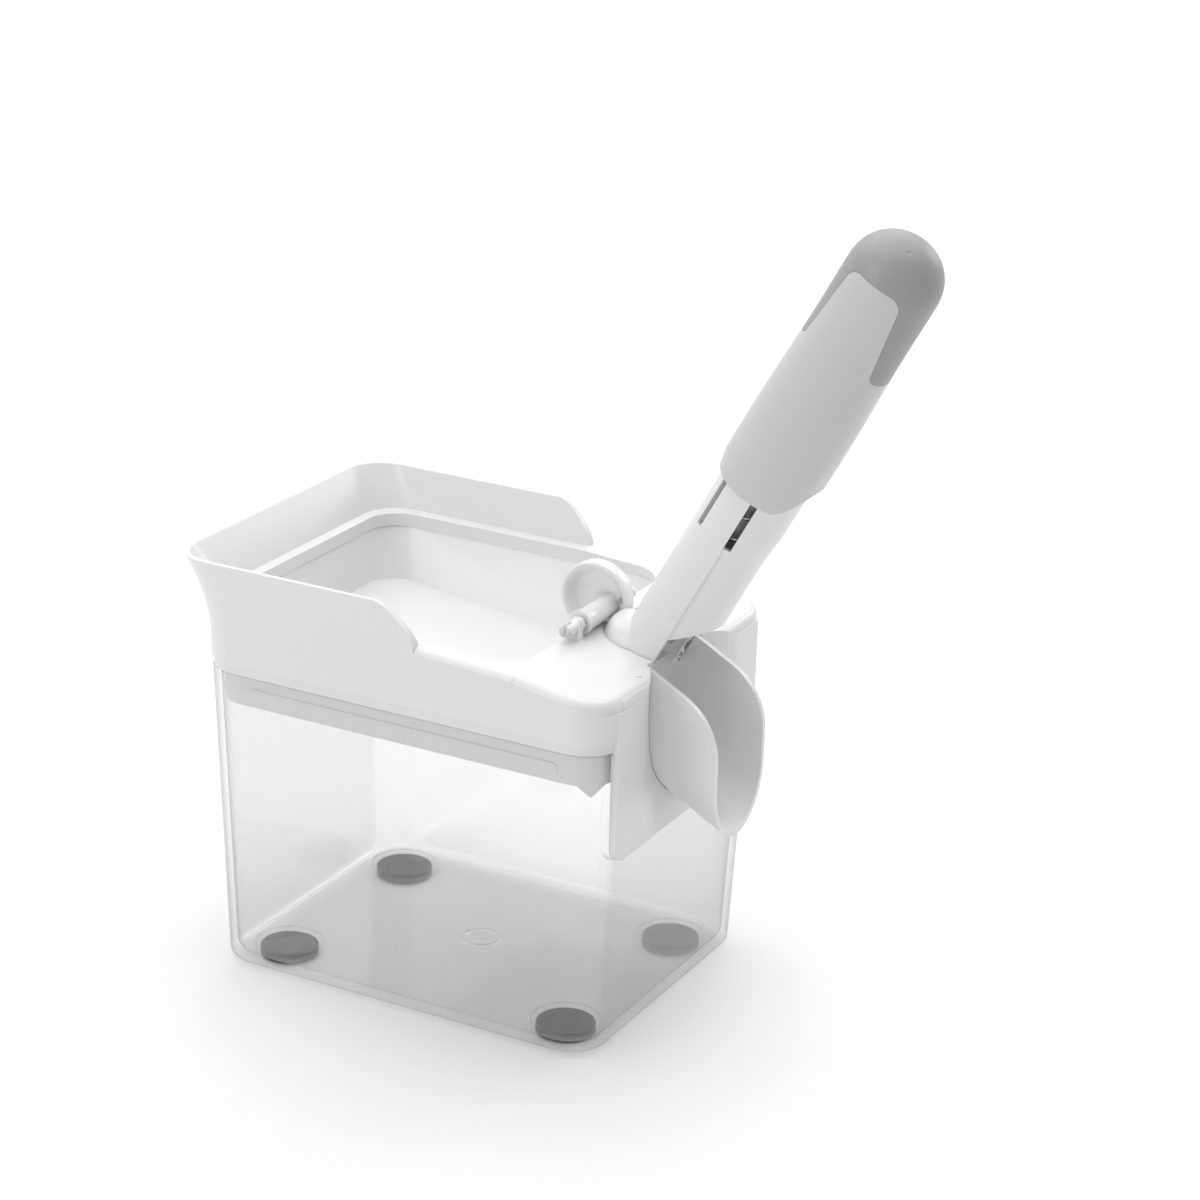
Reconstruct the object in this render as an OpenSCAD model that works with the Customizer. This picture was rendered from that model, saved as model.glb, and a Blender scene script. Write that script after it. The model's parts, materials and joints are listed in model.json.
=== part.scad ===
// Cherry pitter with a push plunger.
// A clear container stands on four pads and catches the stones. A white head sits on it: a hopper
// with a flared lip, a feed disc, a leaning guide tube with its sprung plunger, and a chute.
// X runs along the length, towards the chute. Z is up, and z = 0 is the surface it stands on.

/* [Container] */
// Outer length of the container at its rim
box_l = 156; // [150:1:164]
// Outer width of the container at its rim
box_w = 120; // [114:1:128]
// Height of the container from its own underside to its rim
box_h = 109; // [98:1:120]
// How much each end leans in between rim and base
end_draft = 4.2; // [2:0.2:6]
// How much each side leans in between rim and base
side_draft = 3; // [1:0.2:5]
// Radius of the container's upright corners
box_corner = 13; // [10:0.5:16]
// Thickness of the container's walls
box_wall = 2.2; // [1.6:0.1:2.8]
// Thickness of the container's floor
box_floor = 2.4; // [2:0.1:3.2]

/* [Feet] */
// Diameter of each non-slip pad
pad_d = 20.4; // [16:0.2:23]
// Thickness of each pad
pad_t = 3; // [2.4:0.1:4]
// How far each pad stands below the container
pad_proud = 1; // [0.6:0.1:1.6]
// Distance from the middle of the container to a pad along its length
pad_x = 55.5; // [48:0.5:58]
// Distance from the middle of the container to a pad across its width
pad_y = 38.4; // [32:0.2:41]

/* [Hopper] */
// Height of the flared lip above the container's rim
lip_h = 39.5; // [34:0.5:46]
// How far the lip flares out at the rear end
lip_flare = 9; // [4:0.5:12]
// How far the lip flares out at each side
side_flare = 2.4; // [1:0.2:4]
// Wall thickness of the hopper shell
shell_wall = 2.2; // [1.8:0.1:2.8]
// Height of the deck above the container's rim, where the hopper's side wall ends
deck_rear_h = 25; // [23.5:0.25:26.5]
// Height of the deck above the container's rim, at the crease beside the feed disc
deck_mid_h = 22.8; // [22:0.1:23.4]
// Height of the deck above the container's rim, at the front edge
deck_front_h = 17.4; // [16:0.2:18.4]
// Radius of the quarter round that ends each side wall
wall_end_r = 14; // [8:0.5:15]
// Distance from the container's side to the hopper's opening
well_side = 7.5; // [6:0.5:12]
// Depth of the plug that goes into the container
plug_depth = 11.5; // [8:0.5:15]
// Wall thickness of the tray
tray_wall = 1.8; // [1.4:0.1:2.4]
// Height of the tray's floor above the container's rim, at the rear
floor_rear_h = 4; // [2:0.5:8]

/* [Guide tube] */
// Angle that the tube leans forward from upright
tube_lean = 28.5; // [27.5:0.25:29.5]
// Outer diameter of the guide tube
tube_d = 28; // [26.8:0.2:28.8]
// Wall thickness of the guide tube
tube_wall = 2.1; // [1.6:0.1:2.6]
// Length of the tube above the point where its axis meets the deck
tube_top = 111.5; // [110:0.5:112]
// Lower end of the guide slots, along the tube
slot_low = 54; // [50:0.5:55]
// Width of the guide slots
slot_w = 2.6; // [2:0.1:3.4]

/* [Plunger] */
// Travel of the plunger
stroke = 46; // [40:1:46]
// Outer diameter of the handle at its lower end
grip_d = 33.8; // [33.2:0.2:36]
// How much the handle narrows towards its top, on radius
grip_waist = 1; // [0:0.1:1.2]
// Lower end of the handle, along the tube
grip_low = 74; // [70:0.5:78]
// Top of the handle's dome, along the tube
grip_top = 174; // [172:0.5:182]
// Diameter of the plunger rod
rod_d = 9.8; // [8:0.2:10.4]
// Width across the cross-shaped punch
punch_d = 5.2; // [4.4:0.1:5.8]
// Number of turns of the return spring
spring_turns = 14; // [8:1:18]
// Diameter of the return spring's wire
wire_d = 1.5; // [1:0.1:1.8]

/* [Pitting seat and chute] */
// Depth of the seat below the deck point, along the tube
seat_depth = 34.3; // [33:0.1:35]
// Clear width of the cherry channel
channel_w = 33.4; // [31:0.2:34.4]
// Wall thickness of the chute and of the cherry channel
chute_wall = 1.9; // [1.6:0.1:2.4]
// Diameter of the rubber seat
seat_d = 25.8; // [23:0.2:26.4]
// How far the chute's mouth stands in front of the container
chute_reach = 19.6; // [14:0.2:24]
// Radius of the rounded corner at the top of the chute's mouth
mouth_r = 24; // [12:0.5:26]

/* [Feed disc] */
// Diameter of the feed disc
disc_d = 25.4; // [20:0.2:26]
// Width of the feed disc's rim
disc_w = 5.6; // [4:0.2:6]
// Diameter of the axle
axle_d = 4.4; // [3.4:0.1:5]
// Outer diameter of the barrel that turns on the axle
barrel_d = 7.6; // [6.6:0.1:7.8]

/* [Hidden] */
$fn = 64;

gap = 0.3;          // gap between pieces that move past each other
fit = 0.05;         // gap between pieces that are fitted together
run = 0.08;         // running clearance of a shaft in its hole, on radius
past = 1;           // how far a cut runs past the face it opens
far = 200;          // longer than anything it cuts

// Heights and lengths of the head
seam_z = pad_proud + box_h;
shell_z = seam_z + gap;
rim_z = seam_z + lip_h;
deck_rear_z = seam_z + deck_rear_h;
deck_mid_z = seam_z + deck_mid_h;
deck_front_z = seam_z + deck_front_h;
deck_t = 2.4;
flange_z = deck_mid_z - deck_t;
shell_over = 0.7;                                   // shell stands outside the container's wall
front_x = box_l / 2 + 0.2;
rear_x = -(box_l / 2 + shell_over);
shell_hw = box_w / 2 + shell_over;
crease_x = front_x - 33.7;                          // crease across the deck
wall_end_x = crease_x - 51;                         // where the side wall's quarter round starts
well_front_x = crease_x - 3;
well_rear_x = rear_x + 5.7;
well_w = box_w - 2 * well_side;
well_r = 12;
flare_h = 30;                                       // height over which the lip flares out

// Point where the tube's axis meets the deck, which is the origin of the tube's own frame
tube_x = front_x - 12.2;
tube_z = seam_z + 16;
tube_r = tube_d / 2;
bore_r = tube_r - tube_wall;
open_u = 3;                                         // the tube is cut away in front of this
hood_u = -6.8;                                      // the hood's centre, behind the axis
hood_s = 7.6;                                       // height of the hood's top
hood_r = tube_r - 0.8;
hood_edge = 8.5;                                    // radius of the hood's rounded top edge
foot_s = -8;                                        // the tube's lower end
shelf_s = 40;
front_step = 0.8;                                   // the tube's front stands back by this
bush_t = 4;
slot_angles = [73, 130, -73, -130];

// Handle
grip_r = grip_d / 2;
sleeve_bore_r = tube_r + gap;
grip_part_s = 129;                                  // parting line in front and behind
tongue_s = grip_top - 14;                           // top of the side tongues
tongue_hw = 10;
dome_s = grip_top - 16;                             // where the dome starts
cap_wall = 2;
boss_s = grip_top - 14;                             // lower end of the boss in the cap
boss_r = 9.2;
rod_r = rod_d / 2;
rod_low = shelf_s + 0.5;
punch_tip = 5.5;
rib_low = slot_low + stroke + 1;
rib_h = 12;

// Seat and chute, in the tube's frame: u runs forward across the tube, s runs up it
channel_hw = channel_w / 2;
channel_out = channel_hw + chute_wall;
channel_c = -seat_depth + channel_hw;               // centre of the channel's round floor
seat_r = seat_d / 2;
seat_t = 2;
boss_low = -seat_depth - seat_t - 4.5;
chute_rear_u = -(seat_r + 3);
chute_top_s = 3.9;
mouth_x = box_l / 2 + chute_reach;
under_deck_s = foot_s - fit;                        // top of the channel under the deck

// Front wall and its U-shaped cut-out
apron_t = 2.4;
apron_hw = box_w / 2 - 9.5;
apron_low = seam_z - 39.3;
apron_r = 6;
slot_hw = channel_out + gap;
chute_back_u = open_u + 0.5;                        // rear edge of the chute's side walls
guide_z = seam_z - 5;                               // lower end of the guides beside the chute
guide_t = 6;
pip_x = front_x - 5.6;
pip_y = 27.7;

// Feed disc
axle_x = crease_x - 0.2;
axle_z = deck_mid_z + 4.3;
axle_r = axle_d / 2;
disc_r = disc_d / 2;
disc_dx = -4;                                       // disc's centre from the axle
disc_dz = 2.5;
disc_y = 1;                                         // near face of the disc's rim
barrel_near = -15.6;
barrel_far = 8.5;
axle_near = -26;
axle_far = 16;
saddle_near = -21.5;
saddle_far = 10;
saddle_t = 3;

// The handle's dome is the furthest point forward, and the lip is the furthest back
rear_most = rear_x - lip_flare;
front_most = tube_x + max([for (k = [0:60]) let (s = dome_s - 6 + (grip_top - dome_s + 6) * k / 60)
    s * sin(tube_lean) + grip_at(s) * cos(tube_lean)]);
mid_x = (rear_most + front_most) / 2;

white = [0.95, 0.95, 0.94];
pale = [0.86, 0.86, 0.86];
grey = [0.7, 0.7, 0.71];
steel = [0.75, 0.76, 0.78];

// Moves a piece from the container's middle to the frame's origin
module place() {
    translate([-mid_x, 0, 0]) children();
}

// The tube's own frame: z runs up the tube, x runs forward across it
module on_tube() {
    translate([tube_x - mid_x, 0, tube_z]) rotate([0, tube_lean, 0]) children();
}

// Turns an outline drawn in X and Z into a slab across the object
module across(y0, y1) {
    translate([0, y1, 0]) rotate([90, 0, 0]) linear_extrude(y1 - y0) children();
}

// Rounded rectangle made of exact arcs
module rounded(x0, x1, hw, r) {
    translate([x0 + r, -hw]) square([x1 - x0 - 2 * r, 2 * hw]);
    translate([x0, -hw + r]) square([x1 - x0, 2 * hw - 2 * r]);
    for (x = [x0 + r, x1 - r], y = [-hw + r, hw - r]) translate([x, y]) circle(r);
}

// One ring of points round a rounded rectangle, at height z
corner_steps = 6;
function ring(x0, x1, hw, r, z) = [
    for (c = [0:3], k = [0:corner_steps])
        let (a = 90 * c + 90 * k / corner_steps, cx = (c == 0 || c == 3) ? x1 - r : x0 + r,
             cy = (c < 2) ? hw - r : -hw + r)
        [cx + r * cos(a), cy + r * sin(a), z]
];

// Closed solid through a stack of rings, from the lowest to the highest
module loft(rings) {
    n = len(rings[0]);
    m = len(rings);
    polyhedron(
        points = [for (r = rings) each r],
        faces = concat(
            [[for (i = [0:n - 1]) i]],
            [for (j = [0:m - 2], i = [0:n - 1]) [j * n + i, (j + 1) * n + i, (j + 1) * n + (i + 1) % n]],
            [for (j = [0:m - 2], i = [0:n - 1]) [j * n + i, (j + 1) * n + (i + 1) % n, j * n + (i + 1) % n]],
            [[for (i = [n - 1:-1:0]) (m - 1) * n + i]]
        ),
        convexity = 6
    );
}

// The container's outline at height z, drawn in by some distance
function box_ring(z, inset) =
    let (t = (seam_z - z) / box_h, hl = box_l / 2 - end_draft * t - inset)
    ring(-hl, hl, box_w / 2 - side_draft * t - inset, box_corner - inset / 2, z);

module pads_at() {
    for (x = [-pad_x, pad_x], y = [-pad_y, pad_y]) translate([x, y, 0]) children();
}

module container() {
    z0 = pad_proud;
    top = z0 + box_floor;
    edge = 2.4;
    ring_t = 1.7;
    color([0.86, 0.9, 0.92, 0.35]) place() difference() {
        union() {
            difference() {
                loft([box_ring(z0, edge), box_ring(z0 + 0.3 * edge, 0.4 * edge),
                      box_ring(z0 + 0.7 * edge, 0.08 * edge), box_ring(z0 + 1.4 * edge, 0),
                      box_ring(seam_z, 0)]);
                loft([box_ring(top, box_wall + edge), box_ring(top + 0.4 * edge, box_wall + 0.4 * edge),
                      box_ring(top + 1.2 * edge, box_wall), box_ring(seam_z + past, box_wall)]);
            }
            pads_at() translate([0, 0, z0 + box_floor / 2])
                cylinder(r = pad_d / 2 + ring_t, h = pad_t - box_floor / 2 + 0.4);
            translate([0, 0, top - past]) cylinder(r = 7.4, h = past + 0.6);
        }
        translate([0, 0, top]) cylinder(r = 5.6, h = far);
        pads_at() translate([0, 0, -past]) cylinder(r = pad_d / 2 + fit, h = past + pad_t);
        translate([box_l / 2 - 12, 0, 0]) rotate([90, 0, 90]) linear_extrude(24)
            apron_outline(gap, seam_z + past);
    }
}

module foot_pads() {
    color([0.33, 0.33, 0.34]) place() pads_at() cylinder(d = pad_d, h = pad_t);
}

// The front wall's lower part, drawn in Y and Z, with an optional margin
module apron_outline(margin, top) {
    hw = apron_hw + margin;
    low = apron_low - margin;
    r = apron_r + margin;
    translate([-hw, low + r]) square([2 * hw, top - low - r]);
    translate([-hw + r, low]) square([2 * hw - 2 * r, r + past]);
    for (y = [-hw + r, hw - r]) translate([y, low + r]) circle(r);
}

// Room for the chute where it passes through the deck and the front wall
module chute_room() {
    translate([tube_x, 0, tube_z]) rotate([0, tube_lean, 0]) translate([chute_back_u - gap, 0, 0])
        rotate([90, 0, 90]) linear_extrude(far) {
            translate([0, channel_c]) circle(slot_hw);
            translate([-slot_hw, channel_c]) square([2 * slot_hw, chute_top_s + 14 - channel_c]);
        }
}

// The front wall curves in towards the chute, over a wider stretch lower down
front_low = apron_low - 2;
front_high = deck_mid_z + 2;
function front_in(y, z) =
    let (k = (z - front_low) / (front_high - front_low), w = 30 - 16 * k, d = 6.2 * (1 - pow(1 - k, 3)),
         t = min(1, max(0, (slot_hw + w - abs(y)) / w)))
    d * t * t;

// Slab that follows the front wall, from some distance in front of it to a depth behind it
module front_slab(before, depth) {
    ny = 36;
    nz = 6;
    hw = apron_hw + past;
    function pt(i, j, x) = let (y = -hw + 2 * hw * i / ny, z = front_low + (front_high - front_low) * j / nz)
        [front_x - front_in(y, z) + x, y, z];
    function id(i, j, k) = k * (ny + 1) * (nz + 1) + j * (ny + 1) + i;
    polyhedron(
        points = [for (x = [-depth, before], j = [0:nz], i = [0:ny]) pt(i, j, x)],
        faces = concat(
            [for (j = [0:nz - 1], i = [0:ny - 1]) [id(i, j, 1), id(i, j + 1, 1), id(i + 1, j + 1, 1)]],
            [for (j = [0:nz - 1], i = [0:ny - 1]) [id(i, j, 1), id(i + 1, j + 1, 1), id(i + 1, j, 1)]],
            [for (j = [0:nz - 1], i = [0:ny - 1]) [id(i, j, 0), id(i + 1, j + 1, 0), id(i, j + 1, 0)]],
            [for (j = [0:nz - 1], i = [0:ny - 1]) [id(i, j, 0), id(i + 1, j, 0), id(i + 1, j + 1, 0)]],
            [for (i = [0:ny - 1]) [id(i, 0, 0), id(i, 0, 1), id(i + 1, 0, 1)]],
            [for (i = [0:ny - 1]) [id(i, 0, 0), id(i + 1, 0, 1), id(i + 1, 0, 0)]],
            [for (i = [0:ny - 1]) [id(i, nz, 0), id(i + 1, nz, 1), id(i, nz, 1)]],
            [for (i = [0:ny - 1]) [id(i, nz, 0), id(i + 1, nz, 0), id(i + 1, nz, 1)]],
            [for (j = [0:nz - 1]) [id(0, j, 0), id(0, j + 1, 1), id(0, j, 1)]],
            [for (j = [0:nz - 1]) [id(0, j, 0), id(0, j + 1, 0), id(0, j + 1, 1)]],
            [for (j = [0:nz - 1]) [id(ny, j, 0), id(ny, j, 1), id(ny, j + 1, 1)]],
            [for (j = [0:nz - 1]) [id(ny, j, 0), id(ny, j + 1, 1), id(ny, j + 1, 0)]]
        ),
        convexity = 6
    );
}

// Rounds the deck's upper edges: the corner of this outline lies on the edge
edge_r = 3.2;
module edge_outline() {
    r = edge_r + 0.15;
    polygon(concat([for (k = [0:6]) let (a = -4 + 98 * k / 6)
        [-edge_r - 0.04 + r * cos(a), -edge_r - 0.04 + r * sin(a)]], [[-edge_r - 0.3, past], [past, past],
        [past, -edge_r - 0.3]]));
}

module deck_edges() {
    rc = box_corner + 1;
    x0 = wall_end_x + wall_end_r;
    rear_hw = shell_hw + side_flare * flare_at((deck_rear_z + deck_mid_z) / 2);
    front_hw = shell_hw + side_flare * flare_at((deck_mid_z + deck_front_z) / 2);
    rear_fall = atan2(deck_rear_z - deck_mid_z, crease_x - x0);
    fall = atan2(deck_mid_z - deck_front_z, front_x - crease_x);
    for (side = [0, 1]) mirror([0, side, 0]) {
        translate([x0, rear_hw, deck_rear_z]) rotate([0, rear_fall, 0]) rotate([90, 0, 90])
            linear_extrude((crease_x - x0) / cos(rear_fall) + 0.3) edge_outline();
        translate([crease_x, front_hw, deck_mid_z]) rotate([0, fall, 0]) rotate([90, 0, 90])
            linear_extrude((front_x - rc - crease_x) / cos(fall)) edge_outline();
        translate([crease_x, 0, deck_mid_z]) rotate([0, fall, 0])
            translate([(front_x - rc - crease_x) / cos(fall), front_hw - rc, 0])
            rotate_extrude(angle = 90) translate([rc, 0]) edge_outline();
    }
    translate([crease_x, 0, deck_mid_z]) rotate([0, fall, 0])
        translate([(front_x - crease_x) / cos(fall), front_hw - rc, 0]) rotate([90, 0, 0])
        linear_extrude(2 * (front_hw - rc)) edge_outline();
}

// Side view of the shell, drawn in X and Z
module shell_side() {
    rise = rim_z - deck_rear_z;
    bend = 1.38;                                    // 1 would be an ellipse
    polygon(concat(
        [[-far, shell_z], [front_x + past, shell_z], [front_x + past, deck_front_z], [crease_x, deck_mid_z]],
        [for (k = [0:10]) let (a = 9 * k) [wall_end_x + wall_end_r * pow(cos(a), bend),
            deck_rear_z + rise * pow(sin(a), bend)]],
        [[-far, rim_z]]
    ));
}

// Side view of the space under the deck, drawn in X and Z
module under_deck_side(drop) {
    polygon([[-far, 0], [far, 0], [far, flange_z - drop - (far - crease_x) * deck_fall],
             [crease_x, flange_z - drop], [-far, flange_z - drop]]);
}

deck_fall = (deck_mid_z - deck_front_z) / (front_x - crease_x);

// The shell's outer ring at height z, with the flare that grows towards the lip
function flare_at(z) = let (t = max(0, (z - rim_z + flare_h) / flare_h)) t * t;
function shell_ring(z, inset) =
    ring(rear_x - lip_flare * flare_at(z) + inset, front_x - inset,
         shell_hw + side_flare * flare_at(z) - inset, box_corner + 1 - inset / 2, z);

// Everything in front of the curved front wall
module front_slab_in_front() {
    ahead = 8;
    translate([ahead, 0, 0]) front_slab(0, ahead);
}

module hopper_shell() {
    steps = 7;
    band = 3;
    band_in = 0.9;                                  // the band above the seam stands back by this
    color(white) place() difference() {
        union() {
            intersection() {
                loft([shell_ring(shell_z, band_in), shell_ring(shell_z + band, band_in),
                      shell_ring(shell_z + band + 0.5, 0), each [for (k = [0:steps])
                          shell_ring(rim_z - flare_h + flare_h * k / steps, 0)]]);
                across(-far, far) shell_side();
            }
            intersection() {
                front_slab(0, apron_t);
                translate([front_x - 12, 0, 0]) rotate([90, 0, 90]) linear_extrude(far)
                    apron_outline(0, deck_front_z - deck_t / 2);
            }
        }
        // hollow under the deck
        difference() {
            intersection() {
                translate([0, 0, apron_low]) linear_extrude(far)
                    rounded(rear_x + shell_wall, front_x - apron_t, shell_hw - shell_wall, box_corner - 1);
                across(-far, far) under_deck_side(0);
                translate([-far, -far, shell_z - past]) cube([2 * far, 2 * far, far]);
            }
            front_slab(0, apron_t);
        }
        front_slab_in_front();
        deck_edges();
        // flared inside of the hopper, above its ledge
        loft([for (k = [0:steps]) let (z = deck_rear_z + (rim_z + past - deck_rear_z) * k / steps)
              ring(rear_x - lip_flare * flare_at(z) + 1.6 + 2.2 * (1 - k / steps), front_x + past,
                   shell_hw + side_flare * flare_at(z) - 1.6 - 2.2 * (1 - k / steps), box_corner, z)]);
        translate([0, 0, flange_z - past]) linear_extrude(far)
            rounded(well_rear_x, well_front_x, well_w / 2, well_r);
        // room for the chute and its studs, the hole for the tube's foot and the disc's slot
        chute_room();
        stud_room();
        translate([tube_x, 0, tube_z]) rotate([0, tube_lean, 0]) {
            translate([0, 0, -tube_r * 2]) cylinder(r = tube_r + gap, h = tube_r * 4);
            translate([hood_u, 0, -tube_r * 2]) cylinder(r = hood_r + gap, h = tube_r * 4);
        }
        disc_slot();
    }
    color(white) place() {
        chute_guides();
        axle_saddles();
        // small round pips on the deck beside the chute
        for (y = [-pip_y, pip_y]) translate([pip_x, y, deck_front_z])
            cylinder(r = 1.1, h = (front_x - pip_x) * deck_fall + 0.35);
    }
}

// Solid guides beside the chute, from the deck down
module chute_guides() {
    intersection() {
        difference() {
            translate([tube_x, -slot_hw - guide_t, guide_z])
                cube([front_x - tube_x, 2 * (slot_hw + guide_t), deck_mid_z - guide_z]);
            translate([tube_x - past, -slot_hw, guide_z - past]) cube([far, 2 * slot_hw, far]);
            stud_room();
            front_slab_in_front();
        }
        across(-far, far) translate([0, 0.01]) under_deck_side(0);
    }
}

// Holes that the chute's studs snap into
module stud_room() {
    translate([tube_x, 0, tube_z]) rotate([0, tube_lean, 0])
        translate([stud_u, -slot_hw - stud_out - gap, stud_s]) rotate([-90, 0, 0])
        cylinder(r = stud_r + fit, h = 2 * (slot_hw + stud_out + gap));
}

// Slot in the deck and the tray that the feed disc turns in
module disc_slot() {
    translate([axle_x, disc_y - gap, axle_z]) rotate([-90, 0, 0])
        cylinder(r = norm([disc_dx, disc_dz]) + disc_r + gap, h = disc_w + 2 * gap);
}

// Low cradles on the deck that carry the axle
module axle_saddles() {
    for (y = [saddle_near, saddle_far]) difference() {
        translate([axle_x - 2.6, y, deck_mid_z - 1]) cube([5.2, saddle_t, axle_z - deck_mid_z + 1]);
        translate([axle_x, y - past, axle_z]) rotate([-90, 0, 0]) cylinder(r = axle_r + fit, h = saddle_t + 2 * past);
    }
}

floor_fall = tan(tube_lean) * 0.12;

module hopper_tray() {
    plug_hw = box_w / 2 - side_draft * plug_depth / box_h - box_wall - 0.6;
    plug_hl = box_l / 2 - end_draft * plug_depth / box_h - box_wall - 0.6;
    plug_z = seam_z - plug_depth;
    lip = 0.5;
    color(white) place() difference() {
        union() {
            intersection() {
                difference() {
                    translate([0, 0, plug_z]) linear_extrude(far) rounded(-plug_hl, plug_hl, plug_hw, box_corner - 1);
                    translate([0, 0, plug_z - past]) linear_extrude(flange_z - plug_z - tray_wall + past)
                        rounded(-plug_hl + tray_wall, plug_hl - tray_wall, plug_hw - tray_wall, box_corner - 2);
                }
                across(-far, far) under_deck_side(fit);
            }
            // long snap bead on each side
            for (side = [-1, 1]) translate([0, side * plug_hw, seam_z - 7.2]) rotate([90, 0, 0])
                translate([0, 0, -0.25]) linear_extrude(0.5) {
                    square([2 * pad_x + 4, 4.4], center = true);
                    for (x = [-pad_x - 2, pad_x + 2]) translate([x, 0]) circle(2.2);
                }
            // small lug under the plug's edge at each front corner
            intersection() {
                translate([0, 0, plug_z - 4]) linear_extrude(5) difference() {
                    rounded(-plug_hl, plug_hl, plug_hw, box_corner - 1);
                    rounded(-plug_hl + tray_wall, plug_hl - tray_wall, plug_hw - tray_wall, box_corner - 2);
                }
                across(-far, far) polygon([[plug_hl - 8.6, plug_z + 0.5], [plug_hl - 1.2, plug_z + 0.5],
                    [plug_hl - 4.2, plug_z - 4]]);
            }
            well_body(tray_wall, flange_z - fit);
            intersection() {
                channel_body(channel_out, -32);
                translate([-far, -far, 0]) cube([2 * far, 2 * far, flange_z - fit]);
            }
        }
        well_body(0, flange_z + past);
        channel_body(channel_hw, -40);
        disc_slot();
        // clear of the tube's foot and its hood
        translate([tube_x, 0, tube_z]) rotate([0, tube_lean, 0]) translate([0, 0, foot_s - fit]) {
            cylinder(r = tube_r + gap, h = far);
            translate([hood_u, 0, 0]) cylinder(r = hood_r + gap, h = far);
        }
        // clear of the front wall, of the chute and of its cut-out
        front_slab(8, apron_t + fit);
        translate([tube_x, 0, tube_z]) rotate([0, tube_lean, 0])
            translate([chute_rear_u, -channel_out - gap, -far / 2]) cube([far, 2 * channel_out + 2 * gap, far]);
        translate([tube_x - gap, -slot_hw - guide_t - gap, guide_z - gap])
            cube([far, 2 * (slot_hw + guide_t + gap), far]);
    }
}

// The hopper's well, with a floor that falls to the front
module well_body(wall, top) {
    rear = well_rear_x - 0.5;
    floor_z = seam_z + floor_rear_h - wall;
    fall = 5;
    hull() {
        translate([0, 0, top - 1]) linear_extrude(1)
            rounded(rear - wall, well_front_x + 0.5 + wall, well_w / 2 + 0.5 + wall, well_r + wall);
        translate([rear + 6, 0, floor_z]) rotate([0, fall, 0]) linear_extrude(0.5)
            rounded(-wall, well_front_x - rear - 12 + wall, well_w / 2 - 8 + wall, well_r + wall);
    }
}

// The cherry channel behind the seat, round in section, in the container's frame
module channel_body(hw, rear_u) {
    translate([tube_x, 0, tube_z]) rotate([0, tube_lean, 0]) translate([rear_u, 0, 0])
        rotate([90, 0, 90]) linear_extrude(chute_rear_u - fit - rear_u) intersection() {
            union() {
                translate([0, channel_c]) circle(hw);
                translate([-hw, channel_c]) square([2 * hw, far]);
            }
            translate([-far, -far]) square([2 * far, far + under_deck_s]);
        }
}

stud_u = 5.2;
stud_s = -2.5;
stud_r = 1.5;
stud_out = 2.2;

// Side view of the chute in the tube's frame, drawn in u and s
function mouth_u(s) = (mouth_x - tube_x - s * sin(tube_lean)) / cos(tube_lean);
module chute_side() {
    corner_u = mouth_u(chute_top_s);
    back = mouth_r * tan((90 - tube_lean) / 2);
    low = -seat_depth - chute_wall - past;
    polygon(concat(
        [[chute_rear_u, low - 6], [chute_rear_u, under_deck_s], [chute_back_u, under_deck_s],
         [chute_back_u, chute_top_s]],
        [for (k = [0:12]) let (a = 90 - (90 - tube_lean) * k / 12)
            [corner_u - back + mouth_r * cos(a), chute_top_s - mouth_r + mouth_r * sin(a)]],
        [[mouth_u(low), low], [seat_r + 4, low], [seat_r + 4, low - 6]]
    ));
}

module chute() {
    color(white) on_tube() difference() {
        union() {
            intersection() {
                translate([chute_rear_u, 0, 0]) rotate([90, 0, 90]) linear_extrude(far) {
                    translate([0, channel_c]) circle(channel_out);
                    translate([-channel_out, channel_c]) square([2 * channel_out, far]);
                }
                across(-far, far) chute_side();
            }
            intersection() {
                translate([0, 0, boss_low]) cylinder(r = seat_r + 2.6, h = -boss_low - seat_depth + 8);
                translate([0, 0, boss_low]) cylinder(r = channel_out, h = far);
            }
            translate([stud_u, -slot_hw - stud_out, stud_s]) rotate([-90, 0, 0])
                cylinder(r = stud_r, h = 2 * (slot_hw + stud_out));
        }
        translate([chute_rear_u - past, 0, 0]) rotate([90, 0, 90]) linear_extrude(far) {
            translate([0, channel_c]) circle(channel_hw);
            translate([-channel_hw, channel_c]) square([2 * channel_hw, far]);
        }
        translate([0, 0, -seat_depth - seat_t]) cylinder(r = seat_r, h = far / 2);
        translate([0, 0, boss_low - past]) cylinder(r = seat_r - 2.4, h = far / 2);
    }
}

// Rubber seat with a star of slits that lets the stone through
module pit_seat() {
    slits = 8;
    color([0.8, 0.8, 0.8]) on_tube() translate([0, 0, -seat_depth - seat_t]) difference() {
        cylinder(r = seat_r - fit, h = seat_t);
        translate([0, 0, -past]) cylinder(r = punch_d / 2 + 0.6, h = seat_t + 2 * past);
        for (k = [0:slits - 1]) rotate([0, 0, k * 360 / slits]) translate([0, -0.25, -past])
            cube([seat_r - 4.5, 0.5, seat_t + 2 * past]);
    }
}

// Ring under the seat that holds it in the chute's boss
module seat_ring() {
    color(pale) on_tube() translate([0, 0, boss_low]) difference() {
        cylinder(r = seat_r - 2.4 - fit, h = 4.5 - fit);
        translate([0, 0, -past]) cylinder(r = seat_r - 4.4, h = 4.5 + 2 * past);
    }
}

// Round cover behind the tube's foot, with a rounded top edge
module hood_solid(inset) {
    r = hood_r - inset;
    e = hood_edge - inset;
    top = hood_s - inset;
    low = foot_s - (inset > 0 ? past : 0);
    rotate_extrude() {
        translate([0, low]) square([r - e, top - low]);
        translate([0, low]) square([r, top - e - low]);
        intersection() {
            translate([r - e, top - e]) circle(e);
            translate([0, low]) square([r + 1, top + 1 - low]);
        }
    }
}

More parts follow.
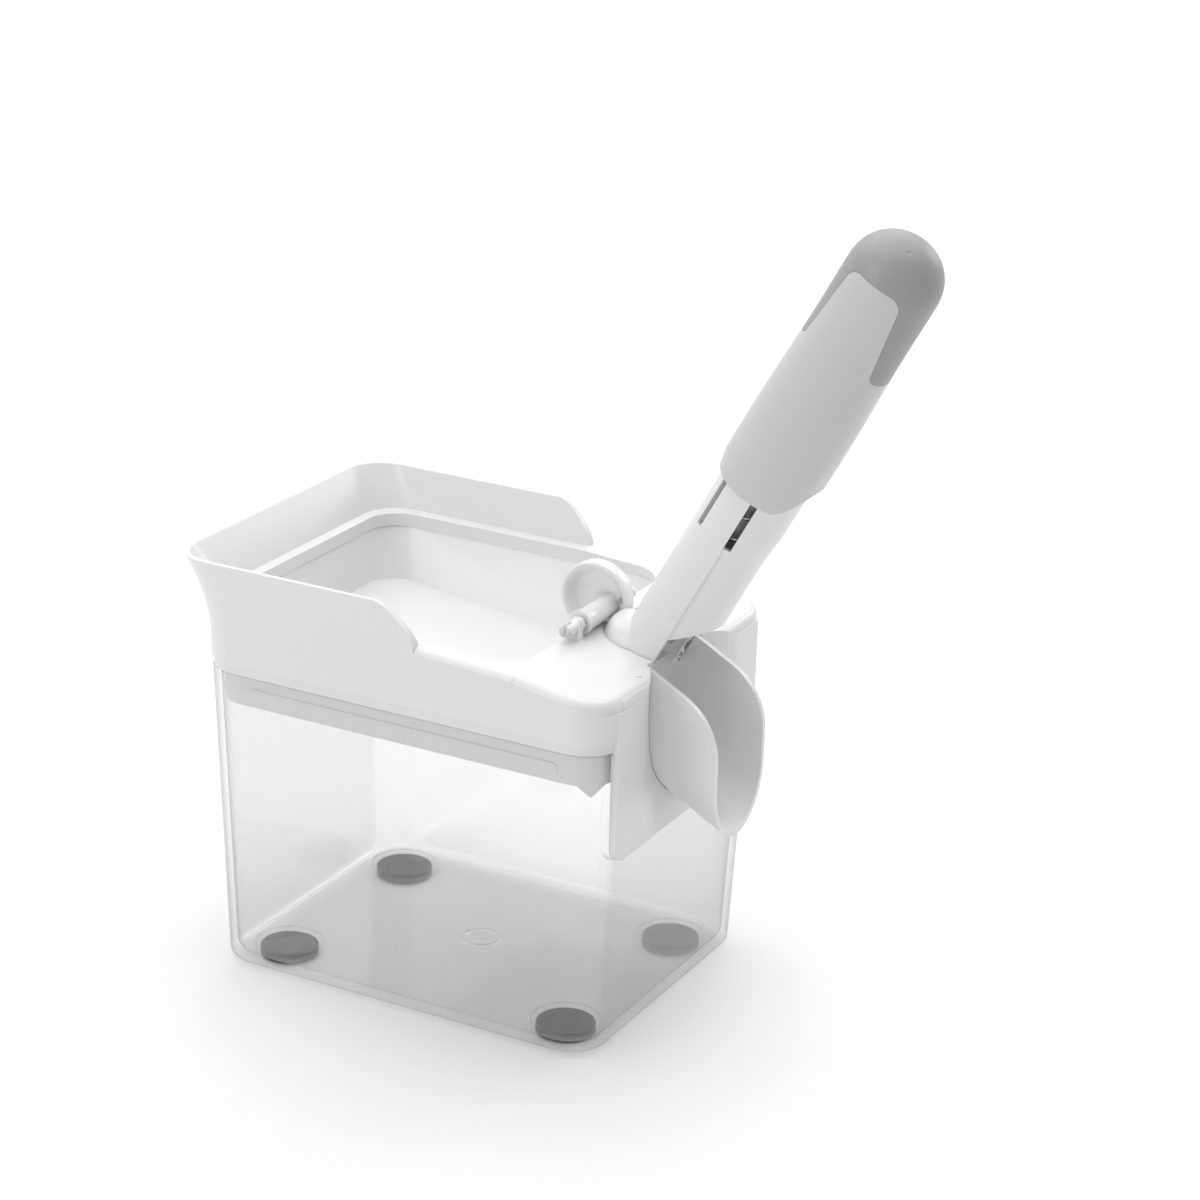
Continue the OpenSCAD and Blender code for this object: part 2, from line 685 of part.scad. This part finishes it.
module guide_tube() {
    arc_rise = 0.95;
    color(white) on_tube() difference() {
        union() {
            translate([0, 0, foot_s]) cylinder(r = tube_r, h = tube_top - foot_s);
            translate([hood_u, 0, 0]) hood_solid(0);
            // foot flange that stands on the channel's walls
            intersection() {
                translate([0, 0, foot_s]) cylinder(r = channel_out, h = 2.4);
                translate([-12, -far, foot_s]) cube([12 + open_u, 2 * far, 2.4]);
            }
        }
        difference() {
            union() {
                translate([0, 0, foot_s - past]) cylinder(r = bore_r, h = far);
                translate([hood_u, 0, 0]) hood_solid(tube_wall);
            }
            translate([0, 0, shelf_s]) difference() {
                cylinder(r = tube_r - 0.5, h = bush_t);
                translate([0, 0, -past]) cylinder(r = rod_r + 2.2, h = bush_t + 2 * past);
            }
        }
        across(-far, far) polygon([[open_u, foot_s - past], [open_u, 10.5 + arc_rise * open_u],
            [tube_r + past, 10.5 + arc_rise * (tube_r + past)], [tube_r + 8, foot_s - past]]);
        for (a = slot_angles) rotate([0, 0, -a]) translate([bore_r - 3, -slot_w / 2, slot_low])
            cube([10, slot_w, far]);
        // the tube's front stands back from its sides below the slots
        intersection() {
            translate([0, 0, foot_s]) difference() {
                cylinder(r = tube_r + 2, h = far);
                translate([0, 0, -past]) cylinder(r = tube_r - front_step, h = slot_low - 4 - foot_s + past);
                translate([0, 0, slot_low - 4 - foot_s])
                    cylinder(r1 = tube_r - front_step, r2 = tube_r + 0.01, h = 12);
                translate([0, 0, slot_low + 8 - foot_s]) cylinder(r = tube_r + 3, h = far);
            }
            translate([open_u, -far, -far]) cube([far, 2 * far, 2 * far]);
        }
        // window for the feed disc and its crank
        translate([-far, disc_y - gap, foot_s - past]) cube([far - 13.5, disc_w + 2 * gap, 21]);
        translate([-far, crank_y - gap, foot_s - past]) cube([far - 13.5, crank_t + 2 * gap, 21]);
    }
}

module rod_bush() {
    color(pale) on_tube() translate([0, 0, shelf_s]) difference() {
        cylinder(r = rod_r + 2.2 - fit, h = bush_t);
        translate([0, 0, -past]) cylinder(r = rod_r + run, h = bush_t + 2 * past);
    }
}

// Plate in the tube's foot that strips the cherry off the rising punch
module stripper_plate() {
    color(steel) on_tube() translate([0, 0, foot_s + 0.6]) difference() {
        intersection() {
            cylinder(r = bore_r - fit, h = 1.2);
            translate([-far, -far, 0]) cube([far, 2 * far, 2]);
        }
        translate([0, 0, -past]) cylinder(r = punch_d / 2 + 0.5, h = 4);
        translate([0, -punch_d / 2 - 0.5, -past]) cube([far, punch_d + 1, 4]);
        translate([-far, disc_y - gap, -past]) cube([far - 8, disc_w + 2 * gap, 4]);
        translate([-far, crank_y - gap, -past]) cube([far - 8, crank_t + 2 * gap, 4]);
    }
}

module feed_axle() {
    color(pale) place() translate([axle_x, 0, axle_z]) rotate([-90, 0, 0]) difference() {
        union() {
            translate([0, 0, axle_near]) cylinder(r = axle_r, h = axle_far - axle_near);
            translate([0, 0, saddle_near + saddle_t + fit]) cylinder(r = axle_r + 0.6, h = 2, $fn = 6);
        }
        translate([-0.5, -far / 2, axle_near - past]) cube([1, far, 4 + past]);
    }
}

module axle_clip() {
    color(steel) place() translate([axle_x, saddle_far + saddle_t + fit, axle_z]) rotate([-90, 0, 0])
        difference() {
            cylinder(r = axle_r + 1.4, h = 0.9);
            translate([0, 0, -past]) cylinder(r = axle_r + fit, h = 3);
            translate([0, -1.2, -past]) cube([10, 2.4, 3]);
        }
}

crank_y = barrel_far + fit;
crank_t = 2;

// Dished disc with its barrel: it turns on the axle and lets one cherry at a time through
module feed_disc() {
    web = 1.5;
    lip = 1.6;
    color([0.93, 0.93, 0.93]) place() translate([axle_x, 0, axle_z]) difference() {
        union() {
            translate([disc_dx, disc_y, disc_dz]) rotate([-90, 0, 0]) rotate_extrude() polygon([
                [0, disc_w], [disc_r - 1, disc_w], [disc_r, disc_w - 1], [disc_r, 0.6], [disc_r - 0.5, 0],
                [disc_r - lip, 0.4], [disc_r - lip - 2.4, disc_w - web - 1.2], [disc_r - lip - 6, disc_w - web],
                [0, disc_w - web]]);
            translate([0, barrel_near, 0]) rotate([-90, 0, 0]) cylinder(d = barrel_d, h = barrel_far - barrel_near);
            translate([0, barrel_near, 0]) rotate([-90, 0, 0]) cylinder(d = barrel_d + 0.8, h = 1.6);
        }
        translate([0, barrel_near - past, 0]) rotate([-90, 0, 0])
            cylinder(r = axle_r + run, h = barrel_far - barrel_near + 2 * past);
        // small hole near the rim, on the side towards the tube
        translate([disc_dx + disc_r - 3.6, -past, disc_dz]) rotate([-90, 0, 0]) cylinder(r = 1.1, h = far);
    }
}

// Crank on the barrel that reaches into the tube's hood
module feed_crank() {
    reach = 9;
    color(pale) place() translate([axle_x, crank_y, axle_z]) rotate([-90, 0, 0]) difference() {
        union() {
            cylinder(d = barrel_d - 1, h = crank_t - 0.9);
            rotate([0, 0, -35]) translate([0, -1.6, 0]) cube([reach - 1.6, 3.2, crank_t - 0.9]);
            rotate([0, 0, -35]) translate([reach - 1.6, 0, 0]) cylinder(r = 1.6, h = crank_t - 0.9);
        }
        translate([0, 0, -past]) cylinder(r = axle_r + run, h = crank_t + 2 * past);
    }
}

// Radius of the handle at height s, with its waist and its dome
function narrow(s) = let (t = min(1, max(0, (s - grip_low - 22) / 46))) t * t * (3 - 2 * t);
function grip_at(s) = s > dome_s
    ? (grip_r - grip_waist) * sqrt(max(0, 1 - pow((s - dome_s) / (grip_top - dome_s), 2.2)))
    : grip_r - grip_waist * narrow(s) - 0.9 * exp(-pow((s - grip_low) / 1.6, 2));

module grip_solid(low, high, inset) {
    steps = 30;
    rotate_extrude() polygon(concat(
        [[0, low]],
        [for (k = [0:steps]) let (t = k / steps, s = low + (high - low) * (1 - (1 - t) * (1 - t)))
            [max(0.01, grip_at(s) - inset), s]],
        [[0, high]]
    ));
}

// Side tongues of the sleeve, drawn in u and s
module tongue_outline(margin) {
    hw = tongue_hw + margin;
    top = tongue_s + margin;
    r = 4.6;
    foot = 3.6;
    polygon(concat(
        [[-far, grip_low - past], [far, grip_low - past], [far, grip_part_s + margin]],
        [for (k = [0:8]) let (a = 270 - 82 * k / 8)
            [hw + 2.6 + foot + foot * cos(a), grip_part_s + margin + foot + foot * sin(a)]],
        [for (k = [0:8]) let (a = 8 + 82 * k / 8) [hw - r + r * cos(a), top - r + r * sin(a)]],
        [for (k = [8:-1:0]) let (a = 8 + 82 * k / 8) [-hw + r - r * cos(a), top - r + r * sin(a)]],
        [for (k = [8:-1:0]) let (a = 270 - 82 * k / 8)
            [-hw - 2.6 - foot - foot * cos(a), grip_part_s + margin + foot + foot * sin(a)]],
        [[-far, grip_part_s + margin]]
    ));
}

module handle_sleeve() {
    rib_in = bore_r - 0.6;
    color(pale) on_tube() {
        difference() {
            grip_solid(grip_low, tongue_s + past, 0);
            translate([0, 0, grip_low - past]) cylinder(r = sleeve_bore_r, h = far);
            // the lower edge rises at the front
            across(-far, far) polygon(concat([[grip_r + past, grip_low - past]],
                [for (k = [0:8]) let (t = k / 8)
                    [grip_r * (0.5 + 0.56 * t), grip_low - past + 15 * pow(t, 2.2) + past * min(1, 4 * t)]]));
            difference() {
                translate([-far, -far, grip_part_s - past]) cube([2 * far, 2 * far, far]);
                across(-far, far) tongue_outline(0);
            }
        }
        // guide ribs that run in the tube's slots
        for (a = slot_angles) rotate([0, 0, -a]) translate([rib_in, -slot_w / 2 + gap, rib_low])
            cube([sleeve_bore_r - rib_in + 0.4, slot_w - 2 * gap, rib_h]);
    }
}

module handle_cap() {
    color(grey) on_tube() {
        difference() {
            grip_solid(grip_part_s, grip_top, 0);
            difference() {
                cap_inside();
                difference() {
                    translate([0, 0, boss_s]) cylinder(r = boss_r, h = far);
                    translate([0, 0, boss_s - past]) cylinder(r = rod_r + fit, h = grip_top - cap_wall - boss_s - 1 + past);
                    translate([0, 0, pin_s]) rotate([90, 0, 0]) cylinder(r = pin_r, h = far, center = true);
                }
            }
            across(-far, far) tongue_outline(fit * 1.5);
            translate([1.7, -8, grip_top - 0.7]) sphere(1.4);
        }
    }
}

// Hollow inside the cap, which follows the dome
module cap_inside() {
    steps = 10;
    top = grip_top - cap_wall;
    rotate_extrude() polygon(concat(
        [[0, grip_part_s - past], [sleeve_bore_r, grip_part_s - past]],
        [for (k = [0:steps]) let (t = k / steps, s = dome_s + (top - dome_s) * (1 - (1 - t) * (1 - t)))
            [max(0.01, sleeve_bore_r * sqrt(max(0, 1 - pow((s - dome_s) / (top - dome_s), 2.2)))), s]],
        [[0, top]]
    ));
}

pin_s = boss_s + 6;
pin_r = 1.25;

module plunger_rod() {
    color(white) on_tube() difference() {
        translate([0, 0, rod_low]) cylinder(r = rod_r, h = grip_top - cap_wall - 1 - rod_low);
        translate([0, 0, pin_s]) rotate([90, 0, 0]) cylinder(r = pin_r, h = far, center = true);
        translate([0, 0, rod_low - past]) punch_shape(12 + past + fit, fit);
    }
}

module punch_shape(h, margin = 0) {
    wide = punch_d + 2 * margin;
    blade = 1.3 + 2 * margin;
    translate([-wide / 2, -blade / 2, 0]) cube([wide, blade, h]);
    translate([-blade / 2, -wide / 2, 0]) cube([blade, wide, h]);
}

module pitting_punch() {
    color(steel) on_tube() intersection() {
        translate([0, 0, punch_tip]) punch_shape(rod_low + 12 - punch_tip);
        translate([0, 0, punch_tip]) union() {
            cylinder(r1 = punch_d / 2 - 0.7, r2 = punch_d / 2 + 0.2, h = 2);
            translate([0, 0, 2]) cylinder(r = punch_d, h = far);
        }
    }
}

module rod_pin() {
    color(steel) on_tube() translate([0, 0, pin_s]) rotate([90, 0, 0])
        cylinder(r = pin_r - fit, h = 2 * boss_r - 1, center = true);
}

spring_r = rod_r + 2.6;
spring_low = shelf_s + bush_t + 1;
spring_high = boss_s - 1;

module spring_cup() {
    color(steel) on_tube() translate([0, 0, spring_high]) difference() {
        cylinder(r = spring_r + wire_d / 2 + 0.6, h = 1);
        translate([0, 0, -past]) cylinder(r = rod_r + 0.2, h = 3);
    }
}

module spring_washer() {
    color(steel) on_tube() translate([0, 0, shelf_s + bush_t]) difference() {
        cylinder(r = spring_r + wire_d / 2 + 0.6, h = 1);
        translate([0, 0, -past]) cylinder(r = rod_r + 0.3, h = 3);
    }
}

// The return spring: one tube swept along a helix whose end turns lie close together
spring_rings = 8;
spring_sides = 6;
coil_low = spring_low + wire_d / 2 + 0.05;
coil_high = spring_high - wire_d / 2 - 0.05;
end_turn = wire_d + 0.6;
function coil_s(t) = t < 1 ? coil_low + end_turn * t
    : t > spring_turns - 1 ? coil_high - end_turn * (spring_turns - t)
    : coil_low + end_turn + (coil_high - coil_low - 2 * end_turn) * (t - 1) / (spring_turns - 2);
coil_n = spring_turns * spring_rings;
coil_points = [for (k = [0:coil_n], j = [0:spring_sides - 1])
    let (t = k / spring_rings, a = 360 * t, b = 360 * j / spring_sides,
         r = spring_r + wire_d / 2 * cos(b))
    [r * cos(a), r * sin(a), coil_s(t) + wire_d / 2 * sin(b)]];
coil_pitch = (coil_high - coil_low - 2 * end_turn) / (spring_turns - 2);
echo(least_spring_gap = min(end_turn, coil_pitch) - wire_d);

module return_spring() {
    m = spring_sides;
    color(steel) on_tube() polyhedron(
        points = coil_points,
        faces = concat(
            [[for (j = [0:m - 1]) j]],
            [for (k = [0:coil_n - 1], j = [0:m - 1]) [k * m + j, (k + 1) * m + j, (k + 1) * m + (j + 1) % m]],
            [for (k = [0:coil_n - 1], j = [0:m - 1]) [k * m + j, (k + 1) * m + (j + 1) % m, k * m + (j + 1) % m]],
            [[for (j = [m - 1:-1:0]) coil_n * m + j]]
        ),
        convexity = 10
    );
}

container();
foot_pads();
hopper_shell();
hopper_tray();
chute();
pit_seat();
seat_ring();
guide_tube();
rod_bush();
stripper_plate();
feed_axle();
axle_clip();
feed_disc();
feed_crank();
handle_sleeve();
handle_cap();
plunger_rod();
pitting_punch();
rod_pin();
spring_cup();
spring_washer();
return_spring();
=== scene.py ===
import json
import math

import bpy
from mathutils import Matrix, Vector


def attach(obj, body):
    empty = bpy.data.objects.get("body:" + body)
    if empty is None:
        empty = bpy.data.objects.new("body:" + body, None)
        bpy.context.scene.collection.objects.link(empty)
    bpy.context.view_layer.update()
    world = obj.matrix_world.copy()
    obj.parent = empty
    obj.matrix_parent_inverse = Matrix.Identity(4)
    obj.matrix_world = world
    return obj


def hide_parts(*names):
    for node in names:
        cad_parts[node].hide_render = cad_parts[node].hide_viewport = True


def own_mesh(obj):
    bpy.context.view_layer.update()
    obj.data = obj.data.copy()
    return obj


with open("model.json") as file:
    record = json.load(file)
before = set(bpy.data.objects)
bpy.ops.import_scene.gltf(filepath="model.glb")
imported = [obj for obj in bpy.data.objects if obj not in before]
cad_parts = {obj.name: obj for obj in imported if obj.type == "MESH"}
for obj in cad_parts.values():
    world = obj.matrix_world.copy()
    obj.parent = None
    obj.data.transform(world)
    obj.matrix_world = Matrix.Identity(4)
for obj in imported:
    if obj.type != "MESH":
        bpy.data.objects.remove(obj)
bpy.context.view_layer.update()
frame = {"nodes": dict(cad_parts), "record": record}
MM = 0.001
MID_X = 34.93 * MM  # the container's middle is this far behind the frame's origin
RECORD = frame["record"]
SLOT_OF = {part["node"]: part["material_slot"] for part in RECORD["subparts"]}
BODY_OF = {node: body for body, nodes in RECORD["behaviour"]["bodies"].items() for node in nodes}


# ---------------------------------------------------------------- shared node groups
def new_group(name, sockets_in, sockets_out):
    """An empty shader node group with named sockets, and its two end nodes."""
    group = bpy.data.node_groups.new(name, "ShaderNodeTree")
    for side, sockets in (("INPUT", sockets_in), ("OUTPUT", sockets_out)):
        for label, kind in sockets:
            group.interface.new_socket(name=label, in_out=side, socket_type="NodeSocket" + kind)
    return group, group.nodes.new("NodeGroupInput"), group.nodes.new("NodeGroupOutput")


def object_noise(group, scale_from, detail):
    """A noise on object coordinates, scaled by one of the group's inputs."""
    place = group.nodes.new("ShaderNodeTexCoord")
    noise = group.nodes.new("ShaderNodeTexNoise")
    noise.inputs["Detail"].default_value = detail
    group.links.new(place.outputs["Object"], noise.inputs["Vector"])
    group.links.new(scale_from, noise.inputs["Scale"])
    return noise.outputs["Fac"]


def grain_group():
    """Fine moulded grain, as a normal."""
    group, ins, outs = new_group(
        "moulded_grain", (("Scale", "Float"), ("Strength", "Float")), (("Normal", "Vector"),))
    height = object_noise(group, ins.outputs["Scale"], 3.0)
    bump = group.nodes.new("ShaderNodeBump")
    bump.inputs["Distance"].default_value = 0.1 * MM
    group.links.new(height, bump.inputs["Height"])
    group.links.new(ins.outputs["Strength"], bump.inputs["Strength"])
    group.links.new(bump.outputs["Normal"], outs.inputs["Normal"])
    return group


def finish_group():
    """Faint unevenness of a moulded surface, as a colour and a roughness."""
    group, ins, outs = new_group(
        "moulded_finish",
        (("Colour", "Color"), ("Shade", "Color"), ("Scale", "Float"), ("Smooth", "Float"), ("Dull", "Float")),
        (("Colour", "Color"), ("Roughness", "Float")))
    patches = object_noise(group, ins.outputs["Scale"], 0.0)
    tone = group.nodes.new("ShaderNodeMix")
    tone.data_type = "RGBA"
    of_colour = [socket for socket in tone.inputs if socket.type == "RGBA"]
    mixed = next(socket for socket in tone.outputs if socket.type == "RGBA")
    group.links.new(patches, tone.inputs[0])
    group.links.new(ins.outputs["Colour"], of_colour[0])
    group.links.new(ins.outputs["Shade"], of_colour[1])
    group.links.new(mixed, outs.inputs["Colour"])
    dull = group.nodes.new("ShaderNodeMapRange")
    group.links.new(patches, dull.inputs["Value"])
    group.links.new(ins.outputs["Smooth"], dull.inputs["To Min"])
    group.links.new(ins.outputs["Dull"], dull.inputs["To Max"])
    group.links.new(dull.outputs["Result"], outs.inputs["Roughness"])
    return group


GRAIN = grain_group()
FINISH = finish_group()


# ---------------------------------------------------------------- materials
def new_material(name):
    material = bpy.data.materials.new(name)
    material.use_nodes = True
    tree = material.node_tree
    return material, tree, tree.nodes.get("Principled BSDF")


def uneven(tree, shader, colour, shade, scale, smooth, dull):
    """Feeds a shader's colour and roughness from the shared finish."""
    finish = tree.nodes.new("ShaderNodeGroup")
    finish.node_tree = FINISH
    finish.inputs["Colour"].default_value = (*colour, 1)
    finish.inputs["Shade"].default_value = (*(c * shade for c in colour), 1)
    finish.inputs["Scale"].default_value = scale
    finish.inputs["Smooth"].default_value = smooth
    finish.inputs["Dull"].default_value = dull
    tree.links.new(finish.outputs["Colour"], shader.inputs["Base Color"])
    tree.links.new(finish.outputs["Roughness"], shader.inputs["Roughness"])


def plastic(name, colour, rough, grain_scale, grain, milky=0.0, shade=0.985, patch_scale=30.0):
    """Moulded plastic or rubber with fine grain and a faintly uneven finish."""
    material, tree, shader = new_material(name)
    uneven(tree, shader, colour, shade, patch_scale, rough * 0.85, rough * 1.15)
    shader.inputs["IOR"].default_value = 1.5
    if milky:
        shader.inputs["Subsurface Weight"].default_value = milky
        shader.inputs["Subsurface Radius"].default_value = (4 * MM, 4 * MM, 4 * MM)
        shader.inputs["Subsurface Scale"].default_value = 1.0
    moulded = tree.nodes.new("ShaderNodeGroup")
    moulded.node_tree = GRAIN
    moulded.inputs["Scale"].default_value = grain_scale
    moulded.inputs["Strength"].default_value = grain
    tree.links.new(moulded.outputs["Normal"], shader.inputs["Normal"])
    return material


def rising(tree, low, high, power):
    """A value that rises from low, seen square on, to high, seen along the surface."""
    facing = tree.nodes.new("ShaderNodeLayerWeight")
    facing.inputs["Blend"].default_value = 0.5
    bend = tree.nodes.new("ShaderNodeMath")
    bend.operation = "POWER"
    bend.inputs[1].default_value = power
    span = tree.nodes.new("ShaderNodeMapRange")
    span.inputs["To Min"].default_value = low
    span.inputs["To Max"].default_value = high
    tree.links.new(facing.outputs["Facing"], bend.inputs[0])
    tree.links.new(bend.outputs["Value"], span.inputs["Value"])
    return span.outputs["Result"]


def mixed_shader(tree, share, first, second):
    """A mix of two shaders, by a share of the second."""
    mix = tree.nodes.new("ShaderNodeMixShader")
    tree.links.new(share, mix.inputs["Fac"])
    tree.links.new(first, mix.inputs[1])
    tree.links.new(second, mix.inputs[2])
    return mix.outputs["Shader"]


def clear_plastic(name):
    """Clear moulded plastic: a faint tint and haze, with stronger mirror and haze at its edges, and painted
    shade that darkens the tint along its edges.
    """
    material, tree, shader = new_material(name)
    shader.inputs["Base Color"].default_value = (0.78, 0.78, 0.785, 1)
    shader.inputs["Roughness"].default_value = 0.08
    clear = tree.nodes.new("ShaderNodeBsdfTransparent")
    # painted shade: the see-through tint darkens from 0.972 face on to 0.55 along the surface, drawing grey
    # edge lines where refraction would show shade
    tree.links.new(rising(tree, 0.972, 0.55, 3.0), clear.inputs["Color"])
    mirror = tree.nodes.new("ShaderNodeBsdfAnisotropic")
    mirror.inputs["Roughness"].default_value = 0.03
    see_through = clear.outputs["BSDF"]
    hazy = mixed_shader(tree, rising(tree, 0.012, 0.5, 5.0), see_through, shader.outputs["BSDF"])
    shiny = mixed_shader(tree, rising(tree, 0.045, 0.6, 3.5), hazy, mirror.outputs["BSDF"])
    # lamps and matt faces see straight through it, which keeps stray glints off the faces
    light = tree.nodes.new("ShaderNodeLightPath")
    for_lamps = mixed_shader(tree, light.outputs["Is Shadow Ray"], shiny, see_through)
    for_faces = mixed_shader(tree, light.outputs["Is Diffuse Ray"], for_lamps, see_through)
    tree.links.new(for_faces, tree.nodes.get("Material Output").inputs["Surface"])
    return material


def steel(name):
    material, tree, shader = new_material(name)
    uneven(tree, shader, (0.62, 0.63, 0.64), 0.9, 400.0, 0.2, 0.36)
    shader.inputs["Metallic"].default_value = 1.0
    return material


MATERIALS = {
    "clear_plastic": clear_plastic("clear_plastic"),
    "pad_rubber": plastic("pad_rubber", (0.1, 0.1, 0.102), 0.7, 1500.0, 0.8, shade=0.25, patch_scale=1400.0),
    "white_plastic": plastic("white_plastic", (0.80, 0.80, 0.80), 0.32, 700.0, 0.04),
    "pale_plastic": plastic("pale_plastic", (0.60, 0.60, 0.605), 0.34, 700.0, 0.04),
    "grey_plastic": plastic("grey_plastic", (0.34, 0.34, 0.345), 0.42, 1400.0, 0.2),
    "milky_plastic": plastic("milky_plastic", (0.80, 0.81, 0.82), 0.2, 700.0, 0.03, milky=0.35),
    "seat_rubber": plastic("seat_rubber", (0.5, 0.5, 0.5), 0.55, 1200.0, 0.2),
    "steel": steel("steel"),
}


# ---------------------------------------------------------------- the pieces
def paint(obj, slot):
    obj.data.materials.clear()
    obj.data.materials.append(MATERIALS[slot])


def select_only(obj):
    bpy.ops.object.select_all(action="DESELECT")
    obj.select_set(True)
    bpy.context.view_layer.objects.active = obj


def soft_copy(node, width=0, smooth=32.0):
    """A merged copy of a CAD node, its edges rounded by width, shown in that node's place."""
    source = frame["nodes"][node]
    obj = source.copy()
    obj.data = source.data.copy()
    obj.name = node + "_shown"
    bpy.context.collection.objects.link(obj)
    select_only(obj)
    bpy.ops.object.mode_set(mode="EDIT")
    bpy.ops.mesh.select_all(action="SELECT")
    bpy.ops.mesh.remove_doubles(threshold=0.01 * MM)
    if width:
        bpy.ops.mesh.dissolve_limited(angle_limit=math.radians(0.5))
    bpy.ops.object.mode_set(mode="OBJECT")
    if width:
        rounded = obj.modifiers.new("round", "BEVEL")
        rounded.width = width
        rounded.segments = 2
        rounded.limit_method = "ANGLE"
        rounded.angle_limit = math.radians(30)
        rounded.harden_normals = False
        rounded.use_clamp_overlap = True
        bpy.ops.object.modifier_apply(modifier=rounded.name)
    bpy.ops.object.shade_smooth_by_angle(angle=math.radians(smooth))
    even = obj.modifiers.new("even", "WEIGHTED_NORMAL")
    even.keep_sharp = True
    bpy.ops.object.modifier_apply(modifier=even.name)
    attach(obj, BODY_OF[node])
    paint(obj, SLOT_OF[node])
    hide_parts(node)
    return obj


for node, obj in frame["nodes"].items():
    paint(obj, SLOT_OF[node])

# moulded pieces get softly rounded edges: node and the radius of its edges
SOFT_EDGES = {
    "hopper_shell": 0.5 * MM,
    "hopper_tray": 0.4 * MM,
    "chute": 0.5 * MM,
    "guide_tube": 0.3 * MM,
    "handle_sleeve": 0.35 * MM,
    "handle_cap": 0.35 * MM,
    "feed_crank": 0.2 * MM,
    "foot_pads": 0.3 * MM,
    "container": 0.35 * MM,
}
ROUND_SMOOTH = 50.0  # degrees: round pieces are smooth across their whole curve
for node, width in SOFT_EDGES.items():
    soft_copy(node, width)
for node in ("feed_disc", "feed_axle", "axle_clip"):
    soft_copy(node, smooth=ROUND_SMOOTH)

# the return spring, which shortens as the plunger goes down with its lower end on the shelf, gets a smoothed
# copy with a mesh of its own
spring = soft_copy("return_spring", smooth=ROUND_SMOOTH)
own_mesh(spring)

# ---------------------------------------------------------------- floor
FLOOR_SIZE = 14
FLOOR_NEAR, FLOOR_FAR = 0.9, 2.2  # between these distances the floor fades into the white studio
bpy.ops.mesh.primitive_plane_add(size=FLOOR_SIZE, location=(0, 0, -0.2 * MM))
floor = bpy.context.active_object
floor.name = "floor"
floor_paint, floor_tree, floor_shader = new_material("floor")
floor_shader.inputs["Base Color"].default_value = (0.93, 0.93, 0.93, 1)
floor_shader.inputs["Roughness"].default_value = 0.6
place = floor_tree.nodes.new("ShaderNodeTexCoord")
reach = floor_tree.nodes.new("ShaderNodeVectorMath")
reach.operation = "LENGTH"
fade = floor_tree.nodes.new("ShaderNodeMapRange")
fade.interpolation_type = "SMOOTHSTEP"
fade.inputs["From Min"].default_value = FLOOR_NEAR
fade.inputs["From Max"].default_value = FLOOR_FAR
fade.inputs["To Min"].default_value = 1.0
fade.inputs["To Max"].default_value = 0.0
floor_tree.links.new(place.outputs["Object"], reach.inputs[0])
floor_tree.links.new(reach.outputs["Value"], fade.inputs["Value"])
floor_tree.links.new(fade.outputs["Result"], floor_shader.inputs["Alpha"])
floor.data.materials.append(floor_paint)


# ---------------------------------------------------------------- light
def soft_light(name, place, aim, size, watts):
    """A square area light at place that looks at aim."""
    lamp = bpy.data.lights.new(name, "AREA")
    lamp.energy = watts
    lamp.size = size
    obj = bpy.data.objects.new(name, lamp)
    bpy.context.collection.objects.link(obj)
    obj.location = place
    obj.rotation_euler = (Vector(aim) - Vector(place)).to_track_quat("-Z", "Y").to_euler()


soft_light("overhead", (-0.5, 0.8, 2.6), (0, 0.4, 0), 4.6, 104)
soft_light("key", (-0.9, -1.9, 1.1), (0, 0, 0.1), 0.8, 10)
soft_light("rim", (0.7, 1.9, 0.9), (0, 0, 0.15), 0.7, 6)

# the studio looks white in mirrors and through clear plastic, but lights matt faces less
STUDIO_SEEN, STUDIO_ON_MATT = 1.0, 0.36
scene = bpy.context.scene
world = scene.world or bpy.data.worlds.new("studio")
scene.world = world
world.use_nodes = True
world_tree = world.node_tree
background = world_tree.nodes.get("Background")
background.inputs["Color"].default_value = (1, 1, 1, 1)
path = world_tree.nodes.new("ShaderNodeLightPath")
level = world_tree.nodes.new("ShaderNodeMapRange")
level.inputs["To Min"].default_value = STUDIO_SEEN
level.inputs["To Max"].default_value = STUDIO_ON_MATT
world_tree.links.new(path.outputs["Is Diffuse Ray"], level.inputs["Value"])
world_tree.links.new(level.outputs["Result"], background.inputs["Strength"])

# ---------------------------------------------------------------- camera
AZIMUTH, ELEVATION, ROLL = (math.radians(angle) for angle in (27.84, 20.42, 1.82))
CAMERA_DISTANCE = 1.15771
MIDDLE_Z = 0.080
AIM_RIGHT, AIM_UP = 0.03971, 0.04792  # from the container's middle to the centre of the view
cam_data = bpy.data.cameras.new("camera")
cam_data.sensor_width = 36.0
cam_data.sensor_fit = "HORIZONTAL"
cam_data.lens = 100.45
cam_data.clip_start = 0.05
cam_data.clip_end = 30
cam = bpy.data.objects.new("camera", cam_data)
bpy.context.collection.objects.link(cam)
back = Vector((
    math.sin(AZIMUTH) * math.cos(ELEVATION), -math.cos(AZIMUTH) * math.cos(ELEVATION), math.sin(ELEVATION)))
level_right = Vector((math.cos(AZIMUTH), math.sin(AZIMUTH), 0))
level_up = back.cross(level_right)
right = math.cos(ROLL) * level_right + math.sin(ROLL) * level_up
up = -math.sin(ROLL) * level_right + math.cos(ROLL) * level_up
target = Vector((-MID_X, 0, MIDDLE_Z)) + AIM_RIGHT * right + AIM_UP * up
eye = target + CAMERA_DISTANCE * back
cam.matrix_world = Matrix((
    (right.x, up.x, back.x, eye.x),
    (right.y, up.y, back.y, eye.y),
    (right.z, up.z, back.z, eye.z),
    (0, 0, 0, 1),
))
scene.camera = cam

# room for rays to cross all the container's walls
scene.view_settings.view_transform = "Standard"
scene.cycles.max_bounces = 14
scene.cycles.transmission_bounces = 12
scene.cycles.transparent_max_bounces = 16
